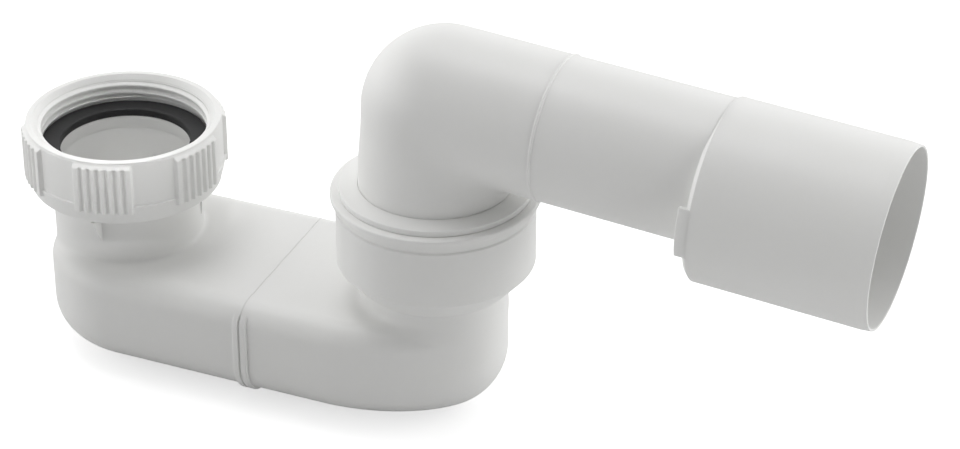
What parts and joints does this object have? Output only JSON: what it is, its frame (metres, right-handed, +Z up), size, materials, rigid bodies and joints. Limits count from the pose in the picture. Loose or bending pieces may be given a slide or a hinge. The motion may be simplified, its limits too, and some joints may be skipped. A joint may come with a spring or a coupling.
{
  "type": "waste trap",
  "caption": "Flat-bodied plastic waste trap with a union nut on its inlet, a low U-shaped water seal and a swivelling elbow whose outlet pipe ends in a wide spigot",
  "frame": {"origin": "centre of the union nut's mouth, on the inlet axis", "axes": "+Z up along the inlet axis towards the sink, +X from the inlet axis to the riser axis and on to the outlet, +Y to the far side seen from the picture's side"},
  "size_m": [0.2563, 0.0578, 0.1166],
  "materials": {
    "body_plastic": "smooth moulded polypropylene, faint sheen",
    "nut_plastic": "smooth moulded polypropylene, faint sheen",
    "seal_rubber": "matt black rubber"
  },
  "bodies": {
    "trap": {"inlet_half": "body_plastic", "outlet_half": "body_plastic", "inlet_washer": "seal_rubber", "socket_seal": "seal_rubber", "retaining_ring": "body_plastic"},
    "nut": {"union_nut": "nut_plastic"},
    "outlet": {"outlet_elbow": "body_plastic", "outlet_tailpipe": "body_plastic"}
  },
  "joints": [
    {"name": "nut_spin", "type": "hinge", "parent": "trap", "child": "nut", "pos_m": [0, 0, 0], "axis": [0, 0, 1], "continuous": true},
    {"name": "elbow_swivel", "type": "hinge", "parent": "trap", "child": "outlet", "pos_m": [0.0965, 0, 0], "axis": [0, 0, 1], "range_deg": [-145, 145]}
  ]
}
